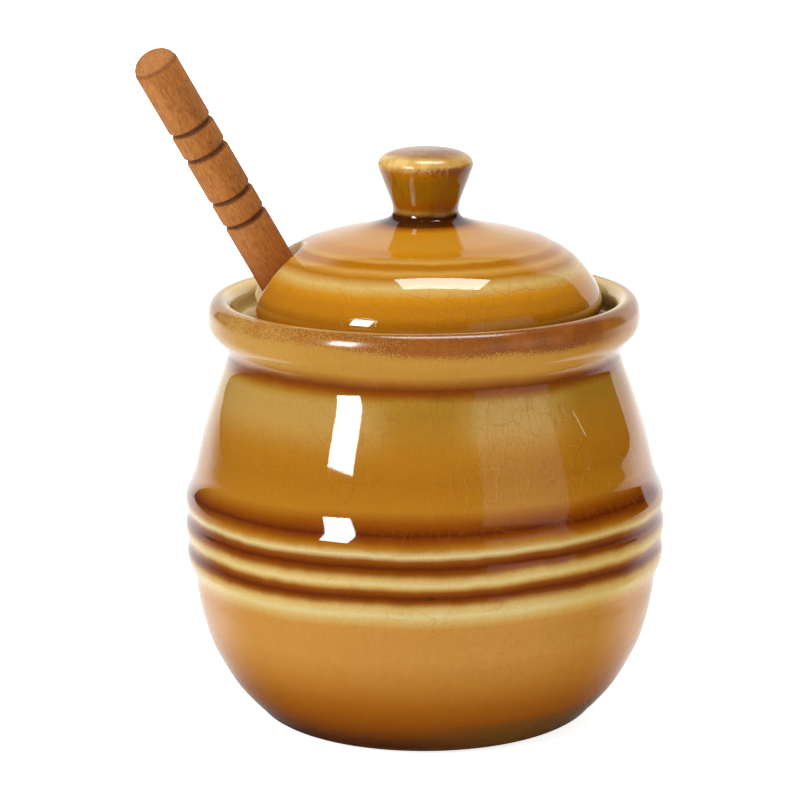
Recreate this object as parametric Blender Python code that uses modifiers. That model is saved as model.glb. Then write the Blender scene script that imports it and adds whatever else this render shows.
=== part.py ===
"""Stoneware honey pot: a thrown round pot, its loose domed lid and a wooden dipper.

Metres, +Z up. The origin is the middle of the pot's flat foot, and the viewer stands on the
-Y side. Pot and lid are turned shapes. The lid lies in a gallery inside the rolled rim, and
a round-ended bite in its edge, on the -X side, lets the dipper stand in the covered pot.
"""

import math

import bpy
from mathutils import Matrix, Vector

# Pot, outside
FOOT_RADIUS = 0.0307
FOOT_ROUNDING = 0.0032
BELLY_RADIUS = 0.0526
NECK_RADIUS = 0.0428
NECK_HEIGHT = 0.0810
RIM_RADIUS = 0.0470
RIM_WIDEST_HEIGHT = 0.0890
RIM_TOP_HEIGHT = 0.0932
RIM_TOP_RADIUS = 0.0446

# Pot, inside: the gallery is the ledge that carries the lid
MOUTH_RADIUS = 0.0415
WALL = 0.0048
FLOOR_HEIGHT = 0.0060
GALLERY_HEIGHT = 0.0868
GALLERY_RADIUS = 0.0340
LEDGE_THICKNESS = 0.0036
THROAT_HEIGHT = 0.0790
THROAT_RADIUS = 0.0374
FLOOR_CURVE = 0.0040
CORNER_ROUNDING = 0.0011
LIP_ROUNDING = 0.0024

# Turned rolls round the belly: the heights of the valleys that part them, top to bottom,
# with how deep each is cut and half its width
ROLL_VALLEYS = ((0.0536, 0.0006, 0.0026), (0.0462, 0.0009, 0.0027), (0.0398, 0.0008, 0.0026))

# Lid: it sits a little to the right in its gallery
LID_OFFSET = 0.0005
LID_RADIUS = 0.0380
LID_WIDEST_HEIGHT = 0.0918
LID_THICKNESS = 0.0046
SEAT_GAP = 0.0003
SEAT_OUTER_RADIUS = 0.0362
SEAT_INNER_RADIUS = 0.0346
SEAT_HEIGHT = GALLERY_HEIGHT + SEAT_GAP
HOLLOW_RADIUS = 0.0332
KNOB_RADIUS = 0.0103
KNOB_TOP_HEIGHT = 0.1253
KNOB_EDGE_HEIGHT = 0.1218
KNOB_EDGE_ROUNDING = 0.0022
KNOB_NECK_RADIUS = 0.0072
KNOB_NECK_HEIGHT = 0.1116

# Rings turned into the lid: the radius of each valley, its depth and half its width
LID_VALLEYS = ((0.0250, 0.0004, 0.0018), (0.0292, 0.0005, 0.0018), (0.0327, 0.0003, 0.0016))

# Bite in the lid's edge: how far round from -X towards the viewer, in degrees, and its size
NOTCH_TURN = 3.0
NOTCH_HALF_WIDTH = 0.0088
NOTCH_REACH = 0.0117

# Dipper: a point of its axis in the bite, the axis's lean, and sizes along the stick
DIPPER_POINT = (-0.03065, -0.0028, 0.0970)
DIPPER_LEAN = (-0.518, -0.312, 1.0)
DIPPER_SHOULDER_HEIGHT = 0.1454
DIPPER_RADIUS = 0.00485
DIPPER_DOME = 0.0031
DIPPER_LENGTH = 0.1608
GROOVE_PLACES = (0.0154, 0.0219, 0.0331, 0.0393)
GROOVE_DEPTH = 0.0006
GROOVE_HALF_WIDTH = 0.0009
HEAD_LENGTH = 0.0300
HEAD_RADIUS = 0.0105
HEAD_CORE_RADIUS = 0.0062
HEAD_DISCS = 6
HEAD_DISC_SHARE = 0.58
HEAD_FLARE = 0.0060
TIP_ROUNDING = 0.0040

# Flats round each turned piece, and the steps between rings along its outline
POT_SIDES = 60
LID_SIDES = 54
DIPPER_SIDES = 24
CUTTER_SIDES = 32
INSIDE_STEP = 0.0110
WALL_STEP = 0.0052
ROLL_STEP = 0.0014
KNOB_STEP = 0.0026
DOME_STEP = 0.0013

# Outline of the belly as (height, radius), foot to neck
BELLY_OUTLINE = (
    (FOOT_ROUNDING, 0.0370),
    (0.0092, 0.0422),
    (0.0164, 0.0464),
    (0.0246, 0.0492),
    (0.0296, 0.0502),
    (0.0325, 0.0511),
    (0.0360, 0.0521),
    (0.0400, BELLY_RADIUS - 0.0002),
    (0.0460, BELLY_RADIUS),
    (0.0505, 0.0522),
    (0.0535, 0.0504),
    (0.0576, 0.0498),
    (0.0630, 0.0487),
    (0.0683, 0.0472),
    (0.0736, 0.0452),
    (NECK_HEIGHT, NECK_RADIUS),
)

# Underside of the rolled rim as (radius, height), its widest ring to the neck
RIM_UNDERSIDE = (
    (0.0468, 0.0871),
    (0.0461, 0.0859),
    (0.0449, 0.0846),
    (0.0437, 0.0831),
    (0.0430, 0.0818),
)

# Outline of the lid's dome as (radius, height), knob to edge
DOME_OUTLINE = (
    (KNOB_NECK_RADIUS, KNOB_NECK_HEIGHT),
    (0.0086, 0.1103),
    (0.0118, 0.1088),
    (0.0160, 0.1078),
    (0.0205, 0.1069),
    (0.0249, 0.1060),
    (0.0288, 0.1043),
    (0.0319, 0.1019),
    (0.0345, 0.0992),
    (0.0366, 0.0965),
)

# Rounded outer edge of the lid as (radius, height), the dome's foot to the seat
LID_EDGE = (
    (LID_RADIUS - 0.0004, LID_WIDEST_HEIGHT + 0.0024),
    (LID_RADIUS, LID_WIDEST_HEIGHT),
    (LID_RADIUS - 0.0003, SEAT_HEIGHT + 0.0022),
    (LID_RADIUS - 0.0010, SEAT_HEIGHT + 0.0006),
)

# Underside of the lid: radii at which it is as far below the dome as the lid is thick
HOLLOW_RINGS = (0.0316, 0.0286, 0.0246, 0.0180)

# Outline of the knob's flank as (height, radius), neck to edge
KNOB_OUTLINE = (
    (KNOB_NECK_HEIGHT, KNOB_NECK_RADIUS),
    (0.1134, 0.0074),
    (0.1160, 0.0083),
    (0.1186, 0.0093),
    (0.1204, 0.0100),
    (KNOB_EDGE_HEIGHT, KNOB_RADIUS),
)


def clear_scene():
    for thing in list(bpy.data.objects):
        bpy.data.objects.remove(thing, do_unlink=True)


def new_collection(name):
    group = bpy.data.collections.new(name)
    bpy.context.scene.collection.children.link(group)
    return group


def new_material(name, colour, roughness):
    material = bpy.data.materials.new(name)
    material.use_nodes = True
    shader = material.node_tree.nodes["Principled BSDF"]
    shader.inputs["Base Color"].default_value = (*colour, 1.0)
    shader.inputs["Roughness"].default_value = roughness
    shader.inputs["Metallic"].default_value = 0.0
    return material


def arc(centre, radii, start, end, count):
    """Points on an elliptical arc in the (radius, height) plane, both ends included."""
    points = []
    for step in range(count):
        angle = math.radians(start + (end - start) * step / (count - 1))
        points.append((centre[0] + radii[0] * math.cos(angle), centre[1] + radii[1] * math.sin(angle)))
    return points


def along(outline, place):
    """Value at a place on a smooth curve through (place, value) stations, in rising order."""
    last = len(outline) - 1
    index = 0
    while index < last - 1 and place > outline[index + 1][0]:
        index += 1
    low_place, low = outline[index]
    high_place, high = outline[index + 1]
    before = outline[max(index - 1, 0)]
    after = outline[min(index + 2, last)]
    span = high_place - low_place
    low_slope = span * (high - before[1]) / (high_place - before[0])
    high_slope = span * (after[1] - low) / (after[0] - low_place)
    t = min(max((place - low_place) / span, 0.0), 1.0)
    low_part = (2 * t**3 - 3 * t**2 + 1) * low + (t**3 - 2 * t**2 + t) * low_slope
    high_part = (3 * t**2 - 2 * t**3) * high + (t**3 - t**2) * high_slope
    return low_part + high_part


def valley_depth(valleys, place):
    """How far the turned valleys cut in at a place: each is a round-bottomed trough."""
    depth = 0.0
    for middle, deepest, half_width in valleys:
        away = abs(place - middle) / half_width
        if away < 1.0:
            depth += deepest * (0.5 + 0.5 * math.cos(math.pi * away))
    return depth


def spread(start, end, pitch):
    """Even places from start to end, both included, no further apart than the pitch."""
    count = max(1, math.ceil(abs(end - start) / pitch - 1e-6))
    return [start + (end - start) * step / count for step in range(count + 1)]


def turned(name, profile, sides, group, material):
    """A solid of revolution. Its profile starts and ends on the axis, outer side running down."""
    mesh = bpy.data.meshes.new(name)
    points = [(radius, 0.0, height) for radius, height in profile]
    edges = [(index, index + 1) for index in range(len(points) - 1)]
    mesh.from_pydata(points, edges, [])
    mesh.materials.append(material)
    solid = bpy.data.objects.new(name, mesh)
    group.objects.link(solid)
    screw = solid.modifiers.new("turn", "SCREW")
    screw.axis = "Z"
    screw.angle = math.tau
    screw.steps = sides
    screw.render_steps = sides
    screw.use_merge_vertices = True
    screw.merge_threshold = 0.00001
    screw.use_smooth_shade = True
    return solid


def pot_profile():
    """Inner floor, up the inside, over the rim, down the outside to the flat foot."""
    profile = [(0.0, FLOOR_HEIGHT), (FOOT_RADIUS - FLOOR_CURVE, FLOOR_HEIGHT)]
    for height in spread(FLOOR_HEIGHT + FLOOR_CURVE, THROAT_HEIGHT - WALL, INSIDE_STEP):
        profile.append((along(BELLY_OUTLINE, height) - WALL, height))
    profile.append((THROAT_RADIUS, THROAT_HEIGHT))
    profile.append((GALLERY_RADIUS + CORNER_ROUNDING / 2, GALLERY_HEIGHT - LEDGE_THICKNESS))
    rounding = (CORNER_ROUNDING, CORNER_ROUNDING)
    ledge_edge = (GALLERY_RADIUS + CORNER_ROUNDING, GALLERY_HEIGHT - CORNER_ROUNDING)
    profile += arc(ledge_edge, rounding, 180, 90, 3)
    ledge_root = (MOUTH_RADIUS - CORNER_ROUNDING, GALLERY_HEIGHT + CORNER_ROUNDING)
    profile += arc(ledge_root, rounding, -90, 0, 3)
    lip_inside = (RIM_TOP_RADIUS - MOUTH_RADIUS, LIP_ROUNDING)
    profile += arc((RIM_TOP_RADIUS, RIM_TOP_HEIGHT - LIP_ROUNDING), lip_inside, 180, 110, 3)
    lip_outside = (RIM_RADIUS - RIM_TOP_RADIUS, RIM_TOP_HEIGHT - RIM_WIDEST_HEIGHT)
    profile += arc((RIM_TOP_RADIUS, RIM_WIDEST_HEIGHT), lip_outside, 90, 0, 5)
    profile += RIM_UNDERSIDE
    rolls_top = ROLL_VALLEYS[0][0] + ROLL_VALLEYS[0][2]
    rolls_foot = ROLL_VALLEYS[-1][0] - ROLL_VALLEYS[-1][2]
    heights = spread(NECK_HEIGHT, rolls_top, WALL_STEP)
    heights += spread(rolls_top, rolls_foot, ROLL_STEP)[1:]
    heights += spread(rolls_foot, FOOT_ROUNDING, WALL_STEP)[1:]
    for height in heights:
        profile.append((along(BELLY_OUTLINE, height) - valley_depth(ROLL_VALLEYS, height), height))
    foot = (BELLY_OUTLINE[0][1] - FOOT_RADIUS, FOOT_ROUNDING)
    profile += arc((FOOT_RADIUS, FOOT_ROUNDING), foot, -30, -90, 3)
    profile.append((0.0, 0.0))
    return profile


def lid_profile():
    """Knob top, down its flank, out over the dome, round the edge, and back underneath."""
    profile = [(0.0, KNOB_TOP_HEIGHT), (KNOB_RADIUS / 2, KNOB_TOP_HEIGHT - 0.0003)]
    knob_edge = (KNOB_RADIUS - KNOB_EDGE_ROUNDING, KNOB_EDGE_HEIGHT)
    profile += arc(knob_edge, (KNOB_EDGE_ROUNDING, KNOB_EDGE_ROUNDING), 75, 0, 5)
    for height in spread(KNOB_EDGE_HEIGHT, KNOB_NECK_HEIGHT, KNOB_STEP)[1:-1]:
        profile.append((along(KNOB_OUTLINE, height), height))
    for radius in spread(KNOB_NECK_RADIUS, DOME_OUTLINE[-1][0], DOME_STEP):
        profile.append((radius, along(DOME_OUTLINE, radius) - valley_depth(LID_VALLEYS, radius)))
    profile += LID_EDGE
    profile += [(SEAT_OUTER_RADIUS, SEAT_HEIGHT), (SEAT_INNER_RADIUS, SEAT_HEIGHT)]
    profile.append((SEAT_INNER_RADIUS - CORNER_ROUNDING, SEAT_HEIGHT + CORNER_ROUNDING))
    profile.append((HOLLOW_RADIUS, LID_WIDEST_HEIGHT))
    for radius in HOLLOW_RINGS:
        profile.append((radius, along(DOME_OUTLINE, radius + LID_THICKNESS / 2) - LID_THICKNESS))
    profile.append((0.0, along(DOME_OUTLINE, HOLLOW_RINGS[-1]) - LID_THICKNESS + CORNER_ROUNDING))
    return profile


def dipper_profile():
    """The stick upright, its shoulder at height 0: rounded end, grooved handle, slotted head."""
    profile = arc((0.0, 0.0), (DIPPER_RADIUS, DIPPER_DOME), 90, 0, 6)
    profile[0] = (0.0, DIPPER_DOME)
    for place in GROOVE_PLACES:
        profile.append((DIPPER_RADIUS, -place + GROOVE_HALF_WIDTH))
        profile.append((DIPPER_RADIUS - GROOVE_DEPTH, -place))
        profile.append((DIPPER_RADIUS, -place - GROOVE_HALF_WIDTH))
    head_top = DIPPER_LENGTH - HEAD_LENGTH
    profile.append((DIPPER_RADIUS, -head_top + HEAD_FLARE))
    profile.append((HEAD_CORE_RADIUS, -head_top))
    pitch = (HEAD_LENGTH - TIP_ROUNDING) / (HEAD_DISCS - 1 + HEAD_DISC_SHARE)
    for disc in range(HEAD_DISCS):
        start = head_top + disc * pitch
        end = start + HEAD_DISC_SHARE * pitch
        for place in (start, end):
            swell = math.sin(math.pi * (0.22 + 0.56 * (place - head_top) / HEAD_LENGTH))
            profile.append((HEAD_RADIUS * swell, -place))
        if disc < HEAD_DISCS - 1:
            profile.append((HEAD_CORE_RADIUS, -end))
            profile.append((HEAD_CORE_RADIUS, -start - pitch))
    profile += arc((0.0, -end), (profile[-1][0] * 0.8, TIP_ROUNDING), -30, -90, 4)
    profile[-1] = (0.0, -end - TIP_ROUNDING)
    return profile


def bite_cutters(group):
    """The round end of the bite, and the straight slot from there out past the lid's edge."""
    turn = Matrix.Rotation(math.radians(NOTCH_TURN), 4, "Z")
    middle = LID_RADIUS - NOTCH_REACH + NOTCH_HALF_WIDTH
    height = LID_WIDEST_HEIGHT + 0.0040
    depth = 0.0400
    reach = 0.0200
    bpy.ops.mesh.primitive_cylinder_add(
        vertices=CUTTER_SIDES, radius=NOTCH_HALF_WIDTH, depth=depth, location=(-middle, 0.0, height)
    )
    round_end = bpy.context.object
    round_end.name = "bite_round_end"
    bpy.ops.mesh.primitive_cube_add(size=1.0, location=(-middle - reach / 2, 0.0, height))
    slot = bpy.context.object
    slot.name = "bite_slot"
    slot.scale = (reach, 2 * NOTCH_HALF_WIDTH, depth - 0.0010)
    cutters = [round_end, slot]
    for cutter in cutters:
        for home in list(cutter.users_collection):
            home.objects.unlink(cutter)
        group.objects.link(cutter)
        bpy.context.view_layer.update()
        cutter.matrix_world = Matrix.Translation((LID_OFFSET, 0.0, 0.0)) @ turn @ cutter.matrix_world
        cutter.hide_render = True
        cutter.display_type = "WIRE"
    return cutters


def make_lid(parts, cutter_group, glaze):
    lid = turned("lid", lid_profile(), LID_SIDES, parts, glaze)
    lid.location.x = LID_OFFSET
    for cutter in bite_cutters(cutter_group):
        cut = lid.modifiers.new(cutter.name, "BOOLEAN")
        cut.operation = "DIFFERENCE"
        cut.solver = "EXACT"
        cut.object = cutter
    return lid


def make_dipper(parts, wood):
    dipper = turned("dipper", dipper_profile(), DIPPER_SIDES, parts, wood)
    lean = Vector(DIPPER_LEAN)
    rise = DIPPER_SHOULDER_HEIGHT - DIPPER_POINT[2]
    dipper.location = Vector(DIPPER_POINT) + rise * lean
    dipper.rotation_mode = "QUATERNION"
    dipper.rotation_quaternion = Vector((0.0, 0.0, 1.0)).rotation_difference(lean)
    return dipper


def main():
    clear_scene()
    parts = new_collection("honey_pot")
    cutters = new_collection("cutters")
    glaze = new_material("honey_glaze", (0.50, 0.22, 0.03), 0.12)
    lid_glaze = new_material("lid_glaze", (0.52, 0.24, 0.04), 0.12)
    wood = new_material("turned_wood", (0.42, 0.18, 0.06), 0.60)
    turned("pot", pot_profile(), POT_SIDES, parts, glaze)
    make_lid(parts, cutters, lid_glaze)
    make_dipper(parts, wood)


main()
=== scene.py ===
import math

import bpy
from mathutils import Matrix, Vector


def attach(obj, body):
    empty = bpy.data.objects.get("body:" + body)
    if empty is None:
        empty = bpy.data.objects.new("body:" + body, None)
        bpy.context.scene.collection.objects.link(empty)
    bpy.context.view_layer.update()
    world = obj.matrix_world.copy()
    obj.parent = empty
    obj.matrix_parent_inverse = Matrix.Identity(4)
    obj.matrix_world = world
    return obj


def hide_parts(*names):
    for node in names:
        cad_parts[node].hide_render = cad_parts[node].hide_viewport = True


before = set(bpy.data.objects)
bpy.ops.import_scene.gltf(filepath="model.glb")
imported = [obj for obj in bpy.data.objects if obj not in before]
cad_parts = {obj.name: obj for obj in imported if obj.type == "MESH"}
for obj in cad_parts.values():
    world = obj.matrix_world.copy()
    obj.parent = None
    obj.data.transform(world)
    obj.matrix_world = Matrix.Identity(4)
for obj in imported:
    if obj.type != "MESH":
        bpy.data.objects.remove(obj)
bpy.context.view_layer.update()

# The camera stands in front of the pot, a little above its lid, and looks slightly down at it.
# The picture is taken as 800 x 800.
camera_distance = 0.7189
camera_height = 0.22676
camera_pitch, camera_yaw, camera_roll = 0.215, -0.0074, 0.0065
bpy.ops.object.select_all(action="DESELECT")
bpy.ops.object.camera_add()
camera = bpy.context.object
camera.name = "camera"
camera.data.sensor_width = 36.0
camera.data.lens = 151.56
camera.matrix_world = (
    Matrix.Translation((0.0, -camera_distance, camera_height))
    @ Matrix.Rotation(-camera_yaw, 4, "Z")
    @ Matrix.Rotation(math.pi / 2 - camera_pitch, 4, "X")
    @ Matrix.Rotation(-camera_roll, 4, "Z")
)
bpy.context.scene.camera = camera
bpy.context.scene.view_settings.view_transform = "Standard"


# Studio: a white sweep for a floor, a tall softbox to the left of the camera and a wide one
# overhead. In the glaze, the room is white behind the pot, dark in front, and has a weak
# panel to the right of the camera.
class Level:
    """A number, colour or vector that changes over a surface: one socket of a shader node."""

    def __init__(self, finish, socket):
        self.finish = finish
        self.socket = socket

    def maths(self, operation, first, second=None, clamp=False):
        sockets = {0: first} if second is None else {0: first, 1: second}
        settings = {"operation": operation, "use_clamp": clamp}
        return self.finish.node("ShaderNodeMath", settings, sockets)

    def __add__(self, other):
        return self.maths("ADD", self, other)

    __radd__ = __add__

    def __sub__(self, other):
        return self.maths("SUBTRACT", self, other)

    def __rsub__(self, other):
        return self.maths("SUBTRACT", other, self)

    def __mul__(self, other):
        return self.maths("MULTIPLY", self, other)

    __rmul__ = __mul__

    def __truediv__(self, other):
        return self.maths("DIVIDE", self, other)

    def __pow__(self, other):
        return self.maths("POWER", self, other)

    def clamped(self):
        return self.maths("ADD", self, 0.0, clamp=True)


class Finish:
    """A node tree being built. Every node comes from one call: its type, settings, then sockets."""

    def __init__(self, owner):
        owner.use_nodes = True
        self.owner = owner
        self.tree = owner.node_tree
        self.shader = self.tree.nodes.get("Principled BSDF") or self.tree.nodes["Background"]

    def node(self, kind, settings=None, sockets=None, output=0):
        made = self.tree.nodes.new(kind)
        for name, value in (settings or {}).items():
            if name == "stops":
                stops = made.color_ramp.elements
                while len(stops) < len(value):
                    stops.new(1.0)
                for stop, (place, colour) in zip(stops, value):
                    stop.position = place
                    stop.color = (*colour, 1.0)
            elif name == "curve":
                made.color_ramp.interpolation = value
            else:
                setattr(made, name, value)
        for name, value in (sockets or {}).items():
            self.feed(made.inputs[name], value)
        return Level(self, made.outputs[output])

    def feed(self, socket, value):
        if isinstance(value, Level):
            self.tree.links.new(value.socket, socket)
        elif isinstance(value, tuple) and socket.type == "RGBA":
            socket.default_value = (*value, 1.0)
        else:
            socket.default_value = value

    def coat(self, **sockets):
        for name, value in sockets.items():
            self.feed(self.shader.inputs[name.replace("_", " ")], value)

    def split(self, vector):
        parts = self.node("ShaderNodeSeparateXYZ", None, {0: vector})
        return [Level(self, socket) for socket in parts.socket.node.outputs]

    def step(self, level, start, end):
        """0 below start and 1 above end, with a soft change between; start may be the higher."""
        sockets = {"Value": level, "From Min": start, "From Max": end}
        return self.node("ShaderNodeMapRange", {"interpolation_type": "SMOOTHSTEP"}, sockets)

    def mix(self, share, under, over, blend="MIX"):
        settings = {"data_type": "RGBA", "blend_type": blend, "clamp_factor": True}
        return self.node("ShaderNodeMix", settings, {0: share, 6: under, 7: over}, 2)


bpy.ops.object.select_all(action="DESELECT")
bpy.ops.mesh.primitive_grid_add(x_subdivisions=24, y_subdivisions=24, size=8.0, location=(0.0, 1.4, 0.0))
sweep = bpy.context.object
sweep.name = "floor"
paper = Finish(bpy.data.materials.new("white_paper"))
place = paper.node("ShaderNodeNewGeometry", output="Position")
fibre = paper.node("ShaderNodeTexNoise", None, {"Vector": place, "Scale": 900.0, "Detail": 2.0})
across, away, up = paper.split(place)
left_turn = across.maths("ARCTAN2", across + 0.05, away) * math.degrees(1.0)
right_turn = across.maths("ARCTAN2", across - 0.05, away) * math.degrees(1.0)
far_off = paper.step(away, 0.15, 0.70)
toward_backdrop = paper.step(left_turn, 20.0 * far_off - 80.0, -34.0) * paper.step(right_turn, 88.0, 47.0)
beside_pot = paper.step(across * across, 0.0008, 0.0040) * (0.27 + 0.27 * paper.step(across, 0.0, 0.05))
near_pot = paper.step(across * across + away * away, 0.0150, 0.0080)
mirrored_floor = 0.07 + 0.93 * (toward_backdrop + near_pot).clamped() * paper.step(away, -0.03, 0.02)
glossy_ray = paper.node("ShaderNodeLightPath", output="Is Glossy Ray")
camera_ray = paper.node("ShaderNodeLightPath", output="Is Camera Ray")
soft_ray = paper.node("ShaderNodeLightPath", output="Is Diffuse Ray")
shown = 1.0 - glossy_ray * (1.0 - 0.7 * mirrored_floor)
glow = glossy_ray * mirrored_floor * (0.14 + 0.34 * paper.step(away, 0.05, 0.60))
glow = glow + camera_ray * (0.42 + 0.6 * paper.step(away, 0.3, 1.5)) + soft_ray * (0.13 + beside_pot)
paper.coat(
    Base_Color=paper.mix(shown, (0.0, 0.0, 0.0), paper.mix(fibre, (0.90, 0.90, 0.90), (0.93, 0.93, 0.93))),
    Roughness=0.9,
    Specular_IOR_Level=0.0,
    Emission_Color=paper.mix(glow, (0.0, 0.0, 0.0), (2.0, 2.0, 2.0)),
    Emission_Strength=1.0,
)
sweep.data.materials.append(paper.owner)

lit_point = Vector((0.0, 0.0, 0.070))
softbox_distance = 1.2
softboxes = (
    ("left_softbox", (-0.627, -0.665, 0.403), (0.665, -0.627, 0.0), 0.285, 0.395, 26.5),
    ("overhead_softbox", (0.113, -0.045, 0.95), (1.0, 0.04, 0.0), 0.75, 0.44, 12.0),
)
for name, direction, along, width, height, brightness in softboxes:
    direction = Vector(direction).normalized()
    upward = direction.cross(Vector(along)).normalized()
    facing = Matrix((upward.cross(direction), upward, direction)).transposed().to_4x4()
    bpy.ops.object.light_add(type="AREA")
    softbox = bpy.context.object
    softbox.name = name
    softbox.data.shape = "RECTANGLE"
    softbox.data.size = width
    softbox.data.size_y = height
    softbox.data.energy = brightness * math.pi * width * height
    softbox.matrix_world = Matrix.Translation(lit_point + softbox_distance * direction) @ facing

room_light = 0.40
backdrop, grey_side, panel, dark_side = 1.12, 0.050, 0.60, 0.015
backdrop_left, backdrop_right = -33.0, 48.0
panel_start, panel_end = 105.0, 151.0
room = Finish(bpy.context.scene.world or bpy.data.worlds.new("room"))
bpy.context.scene.world = room.owner
look_x, look_y, look_z = room.split(room.node("ShaderNodeTexCoord", output="Generated"))
turn = look_x.maths("ARCTAN2", look_x, look_y) * math.degrees(1.0)
white = room.step(turn, backdrop_left, backdrop_left + 1.0) * room.step(look_z, 0.74, 0.62)
white = white * room.step(turn, backdrop_right, backdrop_right - 1.0)
white = white * (1.0 - 0.20 * room.step(look_z, 0.15, 0.40))
on_panel = room.step(turn, panel_start - 1.0, panel_start + 1.0) * room.step(look_z, 0.48, 0.41)
on_panel = on_panel * room.step(turn, panel_end + 1.0, panel_end - 1.0)
unlit = room.step(turn, backdrop_right - 1.0, backdrop_right)
unlit = unlit * room.step(turn, panel_start + 1.0, panel_start - 1.0)
mirrored = grey_side + white * (backdrop - grey_side) + on_panel * (panel - grey_side)
mirrored = mirrored + unlit * (dark_side - grey_side)
soft_ray = room.node("ShaderNodeLightPath", output="Is Diffuse Ray")
low_right = room.step(look_z, 0.60, 0.10) * room.step(turn, 40.0, 80.0) * room.step(turn, 170.0, 140.0)
far_left = room.step(turn, -40.0, -80.0) * room.step(turn, -175.0, -135.0) * room.step(look_z, 0.45, 0.10)
soft = room_light + 0.40 * low_right - 0.16 * far_left
room.coat(Color=(1.0, 1.0, 1.0), Strength=soft_ray * soft + (1.0 - soft_ray) * mirrored)

# Pot: thrown stoneware, turned while leather-hard, with three rolls round its belly and a
# ledge inside its rim for the lid. It is dipped in an amber glaze that runs thin on edges.
pot_outline = (
    (0.0, 0.0), (12.0, 0.0), (24.0, 0.0), (29.5, 0.0), (31.2, 0.05), (33.0, 0.3), (34.7, 0.9),
    (36.3, 1.9), (37.5, 3.2), (39.2, 4.9), (42.8, 9.2), (47.1, 16.9), (48.6, 21.2), (49.6, 25.2),
    (50.2, 28.6), (50.5, 31.0), (50.85, 32.4), (51.35, 33.8), (51.85, 35.0), (52.15, 36.1),
    (52.25, 37.1), (52.2, 38.1), (52.05, 39.0), (52.0, 39.8), (52.1, 40.7), (52.3, 41.7),
    (52.45, 42.7), (52.45, 43.7), (52.3, 44.7), (52.05, 45.7), (52.0, 46.5), (52.1, 47.4),
    (52.3, 48.4), (52.35, 49.4), (52.2, 50.4), (51.85, 51.4), (51.3, 52.6), (50.7, 54.0), (50.17, 55.6),
    (49.85, 57.2), (49.25, 59.8), (48.52, 63.0), (47.0, 68.3), (45.22, 73.6), (43.62, 78.0),
    (43.12, 79.7), (42.92, 80.8), (42.95, 81.6), (43.25, 82.4), (44.0, 83.5), (45.0, 84.6), (46.0, 85.7),
    (46.65, 86.8), (46.95, 88.0), (47.0, 89.2), (46.85, 90.6), (46.35, 91.9), (45.6, 92.8),
    (44.6, 93.2), (43.5, 93.05), (42.5, 92.45), (41.8, 91.6), (41.5, 90.6), (41.5, 89.0),
    (41.35, 87.9), (40.9, 87.15), (40.2, 86.85), (38.5, 86.8), (36.0, 86.8), (35.0, 86.7),
    (34.35, 86.3), (34.05, 85.6), (34.1, 84.6), (34.6, 83.2), (35.6, 81.3), (37.4, 79.0),
    (39.9, 75.0), (42.3, 68.5), (43.9, 63.0), (45.1, 57.0), (46.4, 51.0), (47.2, 45.0),
    (47.3, 39.5), (46.4, 34.0), (45.0, 28.0), (43.3, 22.0), (41.1, 16.0), (37.6, 10.2),
    (33.6, 7.4), (29.0, 6.3), (23.0, 6.0), (11.0, 6.0), (0.0, 6.0),
)


def smooth_line(outline, longest=1.2, fewest=3):
    """A curve through the outline's (radius, height) stations, both given in millimetres."""
    line = []
    for index in range(len(outline) - 1):
        start, end = Vector(outline[index]), Vector(outline[index + 1])
        before = Vector(outline[index - 1]) if index else start
        after = Vector(outline[index + 2]) if index + 2 < len(outline) else end
        span = (end - start).length
        leave = (end - before) * span / max((start - before).length + span, span)
        arrive = (after - start) * span / max((after - end).length + span, span)
        steps = max(fewest, math.ceil(span / longest))
        for step in range(steps):
            t = step / steps
            point = (2 * t**3 - 3 * t**2 + 1) * start + (t**3 - 2 * t**2 + t) * leave
            point += (3 * t**2 - 2 * t**3) * end + (t**3 - t**2) * arrive
            line.append((max(point.x, 0.0) / 1000, point.y / 1000))
    line.append((outline[-1][0] / 1000, outline[-1][1] / 1000))
    return line


def pick(piece, wanted):
    """Goes into edit mode with only the wanted vertices selected."""
    bpy.ops.object.mode_set(mode="EDIT")
    bpy.ops.mesh.select_mode(type="VERT")
    bpy.ops.mesh.select_all(action="DESELECT")
    bpy.ops.object.mode_set(mode="OBJECT")
    for corner in piece.data.vertices:
        corner.select = wanted(corner)
    bpy.ops.object.mode_set(mode="EDIT")


def turn_on_wheel(name, line, sides, middle=0.0):
    """Draws the line in the XZ plane, vertex by vertex, and spins it round its upright axis."""
    bpy.ops.object.select_all(action="DESELECT")
    bpy.ops.mesh.primitive_plane_add(size=0.001)
    piece = bpy.context.object
    piece.name = name
    pick(piece, lambda corner: corner.index > 0)
    bpy.ops.mesh.delete(type="VERT")
    bpy.ops.object.mode_set(mode="OBJECT")
    piece.data.vertices[0].co = (middle + line[0][0], 0.0, line[0][1])
    bpy.ops.object.mode_set(mode="EDIT")
    bpy.ops.mesh.select_all(action="SELECT")
    for before, point in zip(line, line[1:]):
        move = (point[0] - before[0], 0.0, point[1] - before[1])
        bpy.ops.mesh.extrude_region_move(TRANSFORM_OT_translate={"value": move})
    bpy.ops.mesh.select_all(action="SELECT")
    bpy.ops.mesh.spin(steps=sides, angle=math.tau, center=(middle, 0.0, 0.0), axis=(0.0, 0.0, 1.0))
    bpy.ops.mesh.select_all(action="SELECT")
    bpy.ops.mesh.remove_doubles(threshold=0.00002)
    bpy.ops.mesh.normals_make_consistent(inside=False)
    bpy.ops.object.mode_set(mode="OBJECT")
    bpy.ops.object.shade_smooth()
    return piece


pot = turn_on_wheel("glazed_pot", smooth_line(pot_outline), 144)

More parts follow.
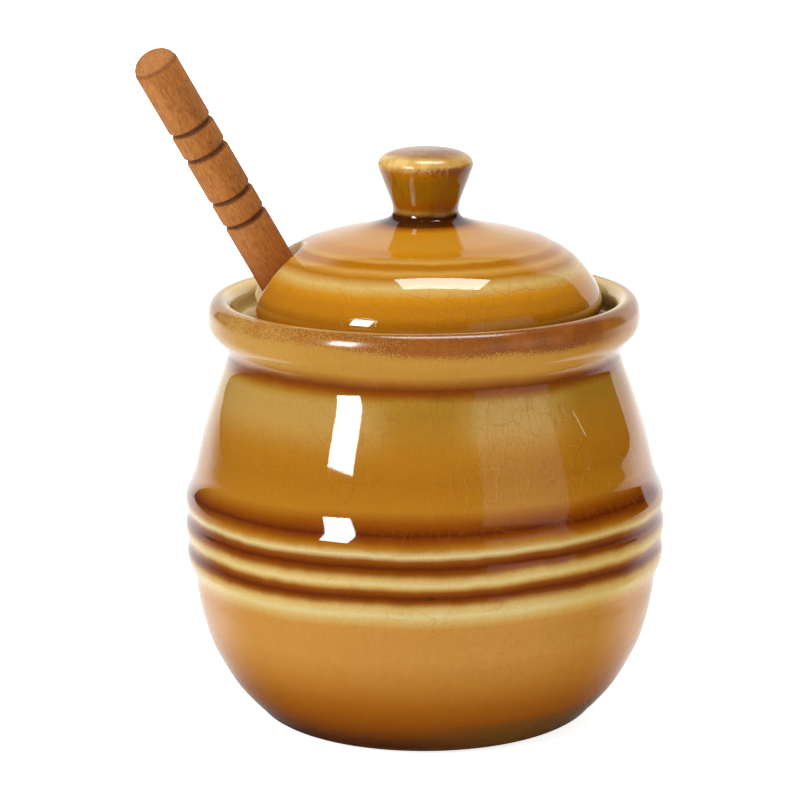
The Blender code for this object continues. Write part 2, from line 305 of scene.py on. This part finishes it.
cream = (0.50, 0.41, 0.195)
straw = (0.45, 0.30, 0.095)
pale_honey = (0.32, 0.172, 0.020)
honey = (0.32, 0.136, 0.009)
deep_honey = (0.29, 0.116, 0.006)
warm_amber = (0.40, 0.192, 0.040)
low_amber = (0.26, 0.085, 0.004)
fading_amber = (0.33, 0.138, 0.018)
rim_amber = (0.355, 0.182, 0.033)
pale_lit_throat = (0.64, 0.46, 0.170)
shaded_throat = (0.13, 0.052, 0.006)
neck_amber = (0.25, 0.092, 0.013)
toffee = (0.205, 0.055, 0.002)
pooled_brown = (0.090, 0.013, 0.001)
neck_brown = (0.125, 0.027, 0.002)
rust = (0.14, 0.028, 0.003)
warm_rust = (0.22, 0.058, 0.006)
foot_brown = (0.060, 0.015, 0.002)

pot_bands = (
    (0.0, toffee), (2.2, foot_brown), (7.5, toffee), (13.0, low_amber),
    (18.5, fading_amber), (25.0, warm_amber), (32.4, warm_amber), (34.2, straw), (35.6, cream),
    (37.35, straw), (38.45, toffee), (39.5, pooled_brown), (40.9, toffee), (41.85, straw),
    (42.4, cream), (43.5, straw), (44.6, toffee), (45.9, pooled_brown), (47.3, toffee),
    (48.4, cream), (49.8, honey), (50.9, toffee), (52.4, pooled_brown), (54.6, toffee),
    (57.0, honey), (62.5, deep_honey), (68.0, honey), (78.3, pale_honey), (79.9, toffee),
    (81.0, neck_brown), (82.4, neck_amber), (84.1, rim_amber),
)
band_span = 93.2


def glaze_waves(finish, place):
    """The slow unevenness of a dipped glaze and of the hand that turned the clay."""
    slow = finish.node("ShaderNodeTexNoise", None, {"Vector": place, "Scale": 38.0, "Detail": 2.0})
    quick = finish.node("ShaderNodeTexNoise", None, {"Vector": place, "Scale": 240.0, "Detail": 3.0})
    return slow, quick


def crackle(finish, place, stretch, cell, width, dimensions="3D"):
    """Thin lines of crazing: 1 on a crack. Stretch makes the cells long in one direction."""
    bend = finish.node("ShaderNodeTexNoise", None, {"Vector": place, "Scale": 150.0}, "Color")
    settings = {"operation": "MULTIPLY_ADD"}
    bent = finish.node("ShaderNodeVectorMath", settings, {0: bend, 1: (0.0024,) * 3, 2: place})
    scaled = finish.node("ShaderNodeVectorMath", {"operation": "MULTIPLY"}, {0: bent, 1: stretch})
    settings = {"feature": "DISTANCE_TO_EDGE", "voronoi_dimensions": dimensions}
    edge = finish.node("ShaderNodeTexVoronoi", settings, {"Vector": scaled, "Scale": 1.0 / cell})
    return finish.step(edge, width / cell, 0.2 * width / cell)


glaze = Finish(bpy.data.materials.new("honey_glaze"))
place = glaze.node("ShaderNodeTexCoord", output="Object")
x, y, z = glaze.split(place)
slow, quick = glaze_waves(glaze, place)

# The glaze ran a little to one side, so its bands lean, and lean the other way at the neck.
neck_bottom, neck_top = 0.0755, 0.0780
thin_left = glaze.step(x, -0.020, -0.044) * glaze.step(z, 0.0510, 0.0535)
thin_left = thin_left * glaze.step(z, 0.0640, 0.0580)
neck_left = x.maths("MINIMUM", x, 0.0) * glaze.step(z, neck_bottom, neck_top)
leaning = z + 0.00012 - 0.0100 * x * glaze.step(z, 0.079, 0.070)
leaning = leaning + 0.0009 * thin_left + 0.0110 * neck_left
level = (leaning + (slow - 0.5) * 0.0016 + (quick - 0.5) * 0.0006) * (1000.0 / band_span)
stops = [(height / band_span, colour) for height, colour in pot_bands]
colour = glaze.node("ShaderNodeValToRGB", {"stops": stops}, {0: level})

# Upright streaks, painted shade on the right, paler under the neck either side of the front, and painted
# light on the left of the rim.
streak_place = glaze.node("ShaderNodeVectorMath", {"operation": "MULTIPLY"}, {0: place, 1: (1.0, 1.0, 0.08)})
streaks = glaze.node("ShaderNodeTexNoise", None, {"Vector": streak_place, "Scale": 700.0, "Detail": 3.0})
colour = glaze.mix(0.30 * streaks, colour, (0.86, 0.78, 0.55), "MULTIPLY")
# Painted shade: the right side, away from the left softbox, is darker and more saturated.
painted_right_shade = glaze.step(x, 0.018, 0.038)
colour = glaze.mix(painted_right_shade, colour, (0.88, 0.83, 0.64), "MULTIPLY")
under_neck = glaze.step(z, 0.0792, 0.0772) * glaze.step(z, 0.0660, 0.0745)
beside_front = glaze.step(x * x, 0.00001, 0.00015) * glaze.step(x, 0.0330, 0.0240) * under_neck
colour = glaze.mix(beside_front * 0.50, colour, straw)
# Painted light: the rim's left side, which faces the left softbox, is lightened towards straw.
lit_left_rim = glaze.step(x, -0.020, -0.038) * glaze.step(z, 0.0830, 0.0850)
colour = glaze.mix(lit_left_rim * 0.30, colour, straw)

# Crazing: fine upright lines with a lit edge, and a wider net of faint ones.
upright_cells, upright_cell, upright_line = (1.0, 1.0, 0.26), 0.0021, 0.00010
cracks_up = crackle(glaze, place, upright_cells, upright_cell, upright_line)
cracks_all = crackle(glaze, place, (1.0, 1.0, 0.7), 0.0046, 0.00009)
above = glaze.step(z, 0.048, 0.053) * glaze.step(z, 0.085, 0.081)
front_right = 0.35 + 0.65 * glaze.step(x, -0.030, -0.012)
patch = glaze.step(slow, 0.28, 0.48) * front_right
below_neck = glaze.step(z, 0.0800, 0.0770)
cracks = (cracks_up * 0.8 + cracks_all * 0.35) * above * patch + cracks_all * patch * below_neck * 0.40
colour = glaze.mix(cracks * 0.38, colour, toffee)
beside = glaze.node("ShaderNodeVectorMath", {"operation": "ADD"}, {0: place, 1: (0.0002, 0.0, 0.0001)})
clear_of_pools = glaze.step(z, 0.054, 0.058) * glaze.step(z, 0.080, 0.077)
lit_edge = crackle(glaze, beside, upright_cells, upright_cell, upright_line) * clear_of_pools * patch
colour = glaze.mix(lit_edge * 0.12, colour, straw)
colour = glaze.mix(0.22 * quick, colour, (0.80, 0.70, 0.50), "MULTIPLY")

# Rust on the rim, where the glaze is thinnest, breaking up into specks at its edge.
radius = (x * x + y * y) ** 0.5
right = glaze.step(x, -0.046, 0.022)
on_rim = glaze.step(z + right * 0.0011 + (slow - 0.5) * 0.003, 0.0876, 0.0910)
on_rim = on_rim * glaze.step(radius, 0.0440, 0.0456) * glaze.step(y, 0.004, -0.012)
settings = {"Vector": place, "Scale": 3600.0, "Detail": 4.0, "Roughness": 0.8}
speck = glaze.node("ShaderNodeTexNoise", None, settings)
blotch = glaze.node("ShaderNodeTexNoise", None, {"Vector": place, "Scale": 110.0, "Detail": 3.0})
rusty = glaze.step(speck * 6.5 + blotch * 1.6 + right * 1.2 + on_rim * 2.0, 6.05, 6.60)
rusty = rusty * glaze.step(z, 0.0868, 0.0885) * (1.0 - 0.5 * glaze.step(x, 0.035, 0.043))
colour = glaze.mix(glaze.step(speck, 0.42, 0.62) * 0.5, colour, (0.92, 0.87, 0.78), "MULTIPLY")
settings = {"Vector": place, "Scale": 1300.0, "Detail": 4.0, "Roughness": 0.7}
mottle = glaze.node("ShaderNodeTexNoise", None, settings)
colour = glaze.mix(glaze.step(mottle, 0.46, 0.58) * 0.4, colour, (0.92, 0.87, 0.76), "MULTIPLY")

# A pale scratch on the right of the belly, and a dark bead in the lowest groove.
scratch_foot, scratch_height, scratch_slant, scratch_right = 0.0689, 0.0056, 0.0029, 0.0338
bead_right, bead_up = 0.0011, 0.0393
in_front = glaze.step(y, 0.0, -0.01)
up_scratch = (z - scratch_foot) / scratch_height
off_scratch = x - scratch_right + scratch_slant * up_scratch
scratch = glaze.step(off_scratch * off_scratch, 2.5e-8, 0.3e-8) * in_front
scratch = scratch * glaze.step(up_scratch, -0.05, 0.1) * glaze.step(up_scratch, 1.05, 0.9)
colour = glaze.mix(scratch * 0.6, colour, cream)
off_bead = (x - bead_right) * (x - bead_right) * 0.25 + (z - bead_up) * (z - bead_up)
colour = glaze.mix(glaze.step(off_bead, 2.4e-7, 1.2e-7) * in_front * 0.85, colour, foot_brown)
rust_tone = glaze.mix(glaze.step(blotch, 0.35, 0.65), rust, warm_rust)
colour = glaze.mix(rusty * 0.9, colour, rust_tone)

# The throat's glaze is thin and pale, painted lighter still as painted light, and painted shade darkens its
# right side deep in the gap under the lid.
inside = glaze.step(radius, 0.0446, 0.0430) * glaze.step(z, 0.0862, 0.0880)
colour = glaze.mix(inside, colour, pale_lit_throat)
in_shade = glaze.step(radius, 0.0425, 0.0416) * glaze.step(z, 0.0915, 0.0880)
in_shade = in_shade * glaze.step(x, -0.010, 0.020)
colour = glaze.mix(in_shade * 0.9, colour, shaded_throat)

ragged = glaze.node("ShaderNodeTexNoise", None, {"Vector": place, "Scale": 2000.0, "Detail": 2.0})
waves = slow * 0.15 + quick * 0.030 + ragged * 0.011
bump = glaze.node("ShaderNodeBump", None, {"Strength": 0.35, "Distance": 0.0004, "Height": waves})
glaze.coat(
    Base_Color=colour,
    Roughness=0.025 + 0.03 * quick + 0.17 * on_rim * (0.3 + 0.7 * rusty),
    IOR=1.5,
    Normal=bump,
)
pot.data.materials.append(glaze.owner)

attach(pot, "root")
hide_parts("pot")

# Lid: a thrown dome with a knob pulled up in its middle, rings turned into it, and a
# round bite cut in its edge for the dipper while the clay was soft. Same glaze as the pot.
lid_middle = 0.0005
lid_outline = (
    (0.0, 125.3), (3.0, 125.25), (5.6, 124.95), (7.6, 124.45), (9.0, 123.85), (9.95, 123.05),
    (10.4, 122.1), (10.35, 121.3), (9.95, 120.3), (9.35, 118.6), (8.35, 116.1), (7.5, 113.8),
    (7.15, 112.3), (7.2, 111.3), (7.45, 110.6), (8.1, 110.1), (9.6, 109.5), (11.6, 108.9),
    (14.0, 108.25), (17.0, 107.6), (20.0, 106.95), (22.0, 106.45), (23.4, 106.0), (24.6, 105.65),
    (25.8, 105.3), (26.9, 104.85), (27.9, 104.3), (28.9, 103.8), (29.9, 103.25), (30.9, 102.6),
    (31.8, 101.95), (32.7, 101.2), (33.7, 100.2), (34.6, 99.1), (35.6, 97.75),
    (36.55, 96.25), (37.5, 94.65), (38.05, 93.1), (38.2, 91.9), (38.1, 90.9), (37.7, 89.4), (37.2, 88.1),
    (36.6, 87.3), (36.0, 87.1), (35.2, 87.1), (34.4, 87.25), (33.7, 87.9), (33.3, 89.5),
    (33.0, 92.0), (31.8, 95.8), (29.0, 98.6), (25.0, 100.6), (19.0, 101.8), (10.0, 102.9),
    (0.0, 103.2),
)
lid = turn_on_wheel("glazed_lid", smooth_line(lid_outline), 144, lid_middle)

bite_turn = math.radians(3.0)
bite_radius = 0.0088
bite_middle = 0.0351
bite_reach = 0.0200
bite_bottom, bite_top = 0.075, 0.115
toward_bite = Vector((-math.cos(bite_turn), -math.sin(bite_turn), 0.0))
bpy.ops.object.select_all(action="DESELECT")
bpy.ops.mesh.primitive_circle_add(
    vertices=96, radius=bite_radius, fill_type="NGON",
    location=(lid_middle + bite_middle * toward_bite.x, bite_middle * toward_bite.y, bite_bottom),
    rotation=(0.0, 0.0, bite_turn),
)
cutter = bpy.context.object
bpy.ops.object.transform_apply(location=True, rotation=True, scale=True)
cutter_middle = Vector((lid_middle, 0.0, bite_bottom)) + bite_middle * toward_bite
pick(cutter, lambda corner: (corner.co - cutter_middle).dot(toward_bite) > -1e-6)
bpy.ops.transform.resize(
    value=(1.0 + 20.0 * abs(toward_bite.x), 1.0, 1.0),
    center_override=tuple(cutter_middle), constraint_axis=(True, False, False),
)
bpy.ops.mesh.select_all(action="SELECT")
bpy.ops.mesh.extrude_region_move(TRANSFORM_OT_translate={"value": (0.0, 0.0, bite_top - bite_bottom)})
bpy.ops.mesh.select_all(action="SELECT")
bpy.ops.mesh.normals_make_consistent(inside=False)
bpy.ops.object.mode_set(mode="OBJECT")

bpy.ops.object.select_all(action="DESELECT")
bpy.context.view_layer.objects.active = lid
lid.select_set(True)
cut = lid.modifiers.new("bite", "BOOLEAN")
cut.operation = "DIFFERENCE"
cut.solver = "EXACT"
cut.object = cutter
bpy.ops.object.modifier_apply(modifier="bite")
bpy.data.objects.remove(cutter, do_unlink=True)
clay = lid.modifiers.new("clay", "REMESH")
clay.mode = "VOXEL"
clay.voxel_size = 0.0005
clay.use_smooth_shade = True
bpy.ops.object.modifier_apply(modifier="clay")
sponge = lid.modifiers.new("sponged_edges", "SMOOTH")
sponge.factor = 0.5
sponge.iterations = 8
bpy.ops.object.modifier_apply(modifier="sponged_edges")

lid_material = Finish(bpy.data.materials.new("lid_glaze"))
place = lid_material.node("ShaderNodeTexCoord", output="Object")
x, y, z = lid_material.split(place)
slow, quick = glaze_waves(lid_material, place)
off_x = x - lid_middle
radius = (off_x * off_x + y * y) ** 0.5
dome_span = 38.0
lid_amber = (0.33, 0.118, 0.002)
lid_ring = (0.40, 0.160, 0.006)
lid_skirt = (0.37, 0.142, 0.005)
lid_honey = (0.43, 0.180, 0.006)
lid_plateau = (0.44, 0.195, 0.014)
lid_straw = (0.46, 0.320, 0.100)
lid_pale = (0.45, 0.240, 0.045)
lid_toffee = (0.26, 0.066, 0.001)
pale_lit_bite = (0.80, 0.64, 0.38)
# The crease round the knob's foot is dark from pooled glaze and from painted shade.
pooled_and_shaded_crease = (0.062, 0.013, 0.001)
dome_bands = (
    (0.0, lid_amber), (7.4, pooled_and_shaded_crease), (9.6, pooled_and_shaded_crease), (10.4, lid_toffee), (12.5, lid_honey),
    (16.0, lid_plateau), (21.0, lid_plateau), (23.6, lid_ring), (25.2, lid_ring), (27.0, lid_pale),
    (27.8, lid_amber), (29.0, lid_amber), (30.2, lid_pale), (31.7, lid_amber), (33.5, lid_straw),
    (35.1, lid_honey), (36.3, lid_skirt), (37.5, lid_skirt), (38.0, lid_amber),
)
knob_green = (0.23, 0.098, 0.002)
knob_top = (0.30, 0.165, 0.070)
knob_line = (0.33, 0.17, 0.025)
knob_lip = (0.58, 0.40, 0.135)
knob_bands = (
    (109.0, pooled_and_shaded_crease), (111.1, pooled_and_shaded_crease), (112.0, knob_line), (112.9, lid_toffee), (116.0, knob_green),
    (119.0, knob_green), (121.0, lid_amber), (122.6, knob_lip), (123.8, knob_lip), (124.7, knob_top),
)
knob_foot, knob_span = 109.0, 16.3
level = (radius + (slow - 0.5) * 0.0014 + (quick - 0.5) * 0.0005) * (1000.0 / dome_span)
stops = [(where / dome_span, tone) for where, tone in dome_bands]
dome_colour = lid_material.node("ShaderNodeValToRGB", {"stops": stops}, {0: level})
level = (z * 1000.0 - knob_foot + (slow - 0.5) * 1.6 + (quick - 0.5) * 0.8) / knob_span
stops = [((where - knob_foot) / knob_span, tone) for where, tone in knob_bands]
knob_colour = lid_material.node("ShaderNodeValToRGB", {"stops": stops}, {0: level})
on_knob = lid_material.step(z, 0.1098, 0.1112) * lid_material.step(radius, 0.0125, 0.0105)
squash = {0: place, 1: (1.0, 1.0, 0.12)}
drip_place = lid_material.node("ShaderNodeVectorMath", {"operation": "MULTIPLY"}, squash)
drips = lid_material.node("ShaderNodeTexNoise", None, {"Vector": drip_place, "Scale": 420.0, "Detail": 3.0})
runs = lid_material.step(drips, 0.42, 0.68) * 0.8
knob_colour = lid_material.mix(runs, knob_colour, (0.80, 0.66, 0.45), "MULTIPLY")
shaded = lid_material.step(x, -0.004, 0.005)
knob_colour = lid_material.mix(shaded, knob_colour, (0.76, 0.66, 0.52), "MULTIPLY")
settings = {"Vector": place, "Scale": 900.0, "Detail": 4.0, "Roughness": 0.7}
mottle = lid_material.node("ShaderNodeTexNoise", None, settings)
edge = lid_material.step(z, 0.1192, 0.1206) * lid_material.step(z, 0.1226, 0.1216)
freckles = lid_material.step(mottle + x * 20.0, 0.50, 0.62) * edge
knob_colour = lid_material.mix(freckles * 0.8, knob_colour, rust)
colour = lid_material.mix(on_knob, dome_colour, knob_colour)

# The bite's wall is thinly glazed and pale, and is painted lighter still as painted light where it stands in
# shade; the shoulder is crazed, most of all on the right.
bite_x = x - lid_middle - bite_middle * toward_bite.x
bite_x = bite_x.maths("MAXIMUM", bite_x, 0.0)
bite_y = y - bite_middle * toward_bite.y
from_bite = (bite_x * bite_x + bite_y * bite_y) ** 0.5
bite_wall = lid_material.step(from_bite, 0.0094, 0.0089) * lid_material.step(x, -0.024, -0.025)
colour = lid_material.mix(bite_wall * 0.9, colour, pale_lit_bite)
around = y.maths("ARCTAN2", y, off_x) * 0.036
unrolled = lid_material.node("ShaderNodeCombineXYZ", None, {0: around, 1: z - 0.8 * radius})
even_cells, shoulder_cell, shoulder_line = (1.0, 1.0, 1.0), 0.0036, 0.00010
cracks = crackle(lid_material, unrolled, even_cells, shoulder_cell, shoulder_line, "2D")
shoulder = lid_material.step(radius, 0.0315, 0.0345) * lid_material.step(z, 0.1050, 0.1020)
shoulder = shoulder * (0.6 + 0.4 * lid_material.step(x, -0.012, 0.010))
colour = lid_material.mix(cracks * shoulder * 0.60, colour, toffee)
step_aside = {0: unrolled, 1: (0.00018, 0.00018, 0.0)}
beside = lid_material.node("ShaderNodeVectorMath", {"operation": "ADD"}, step_aside)
lit_edge = crackle(lid_material, beside, even_cells, shoulder_cell, shoulder_line, "2D") * shoulder
colour = lid_material.mix(lit_edge * 0.22, colour, lid_straw)
mottled = lid_material.step(mottle, 0.40, 0.65) * 0.4
colour = lid_material.mix(mottled, colour, (0.92, 0.87, 0.78), "MULTIPLY")
colour = lid_material.mix(0.25 * quick, colour, (0.80, 0.70, 0.50), "MULTIPLY")
waves = slow * 0.18 + quick * 0.03 + cracks * shoulder * 0.05
bump = lid_material.node("ShaderNodeBump", None, {"Strength": 0.3, "Distance": 0.0004, "Height": waves})
worn_cap = lid_material.step(z, 0.1195, 0.1215)
lid_material.coat(Base_Color=colour, Roughness=0.025 + 0.03 * quick + 0.16 * worn_cap, IOR=1.5, Normal=bump)
lid.data.materials.clear()
lid.data.materials.append(lid_material.owner)

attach(lid, "root")
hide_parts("lid")

# Dipper: a honey dipper turned from one length of hardwood dowel, with grooves turned round
# its handle. It leans in the bite, with its slotted head on the pot's floor.
stick_radius = 4.85
stick_length = 160.8
head_length, head_radius, head_core = 30.0, 10.5, 6.2
handle_grooves = (15.4, 21.9, 33.1, 39.3)
dipper_line = [
    (0.0, 3.1), (1.2, 3.0), (2.5, 2.62), (3.6, 1.95), (4.35, 1.05), (4.62, 0.45), (4.66, 0.15),
    (4.82, -0.1), (stick_radius, -0.5),
]
for groove_at in handle_grooves:
    dipper_line += [
        (stick_radius, -groove_at + 0.95), (stick_radius - 0.12, -groove_at + 0.7),
        (stick_radius - 0.85, -groove_at + 0.35), (stick_radius - 0.15, -groove_at - 0.65),
        (stick_radius, -groove_at - 0.95),
    ]
head_top = stick_length - head_length
dipper_line += [(stick_radius, -head_top + 6.0), (head_core, -head_top)]
disc_count, disc_share, tip_rounding = 6, 0.58, 4.0
pitch = (head_length - tip_rounding) / (disc_count - 1 + disc_share)
for disc in range(disc_count):
    start = head_top + disc * pitch
    end = start + disc_share * pitch
    for below in (start, end):
        swell = math.sin(math.pi * (0.22 + 0.56 * (below - head_top) / head_length))
        dipper_line.append((head_radius * swell, -below))
    if disc < disc_count - 1:
        dipper_line += [(head_core, -end), (head_core, -start - pitch)]
tip_radius = dipper_line[-1][0]
dipper_line += [(tip_radius * 0.7, -end - 2.0), (tip_radius * 0.4, -end - 3.4), (0.0, -end - tip_rounding)]
dipper = turn_on_wheel("wooden_dipper", [(r / 1000, h / 1000) for r, h in dipper_line], 64)

dipper_point = Vector((-0.03065, -0.0028, 0.0970))
dipper_lean = Vector((-0.518, -0.312, 1.0))
shoulder_height = 0.1454
shoulder_point = dipper_point + (shoulder_height - dipper_point.z) * dipper_lean
lean = Vector((0.0, 0.0, 1.0)).rotation_difference(dipper_lean).to_matrix()
dipper.data.transform(Matrix.Translation(shoulder_point) @ lean.to_4x4())

wood = Finish(bpy.data.materials.new("turned_wood"))
place = wood.node("ShaderNodeTexCoord", output="Object")
upright = lean.inverted()
along_stick = wood.node(
    "ShaderNodeMapping", {"vector_type": "POINT"},
    {"Vector": place, "Location": tuple(-(upright @ shoulder_point)), "Rotation": tuple(upright.to_euler())},
)
x, y, z = wood.split(along_stick)
drawn_out = {"operation": "MULTIPLY"}
fibre_place = wood.node("ShaderNodeVectorMath", drawn_out, {0: along_stick, 1: (1.0, 1.0, 0.24)})
settings = {"Vector": fibre_place, "Scale": 2300.0, "Detail": 4.0, "Roughness": 0.75}
fibre = wood.node("ShaderNodeTexNoise", None, settings)
figure_place = wood.node("ShaderNodeVectorMath", drawn_out, {0: along_stick, 1: (1.0, 1.0, 0.10)})
figure = wood.node("ShaderNodeTexNoise", None, {"Vector": figure_place, "Scale": 300.0, "Detail": 3.0})
stops = ((0.30, (0.165, 0.047, 0.006)), (0.49, (0.30, 0.108, 0.020)), (0.70, (0.42, 0.175, 0.045)))
colour = wood.node("ShaderNodeValToRGB", {"stops": stops}, {0: fibre * 0.72 + figure * 0.28})
# Painted shade: the stick's right side, away from the left softbox, is darker.
shaded_stick_side = wood.step(x, -0.0022, 0.0012)
colour = wood.mix(shaded_stick_side, colour, (0.94, 0.87, 0.72), "MULTIPLY")
# Darker and redder from near the lid on down the handle.
darker_toward_lid = wood.step(z, -0.036, -0.061)
colour = wood.mix(darker_toward_lid, colour, (0.80, 0.50, 0.15), "MULTIPLY")
settings = {"Vector": along_stick, "Scale": 1300.0, "Detail": 3.0, "Roughness": 0.7}
pores = wood.node("ShaderNodeTexNoise", None, settings)
end_grain = wood.step(z, -0.0004, 0.0002)
colour = wood.mix(end_grain * wood.step(pores, 0.58, 0.44), colour, (0.80, 0.74, 0.66), "MULTIPLY")
colour = wood.mix(end_grain * 0.18, colour, (0.55, 0.28, 0.11))
# Painted shadow: a dark ring at the foot of the end's dome.
end_shadow_ring = wood.step(z, -0.0006, -0.0001) * wood.step(z, 0.0007, 0.0003)
colour = wood.mix(end_shadow_ring * 0.7, colour, (0.55, 0.42, 0.30), "MULTIPLY")
shadowed = wood.step(x, -0.0040, 0.0030)
# Painted shade in the turned grooves, wider on the right where the stick is shaded, over a darker brown.
groove_shade = 0.0
for groove_at in handle_grooves:
    away = z.maths("ABSOLUTE", z * 1000.0 + groove_at - 0.15)
    groove_shade = groove_shade + wood.step(away + 0.5 * (pores - 0.5), 0.70 + 0.40 * shadowed, 0.30)
colour = wood.mix(groove_shade * (0.50 + 0.80 * pores), colour, (0.085, 0.022, 0.003))
bump = wood.node("ShaderNodeBump", None, {"Strength": 0.35, "Distance": 0.0003, "Height": fibre})
wood.coat(Base_Color=colour, Roughness=0.50 + 0.2 * fibre, Specular_IOR_Level=0.18, Normal=bump)
dipper.data.materials.append(wood.owner)

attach(dipper, "root")
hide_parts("dipper")
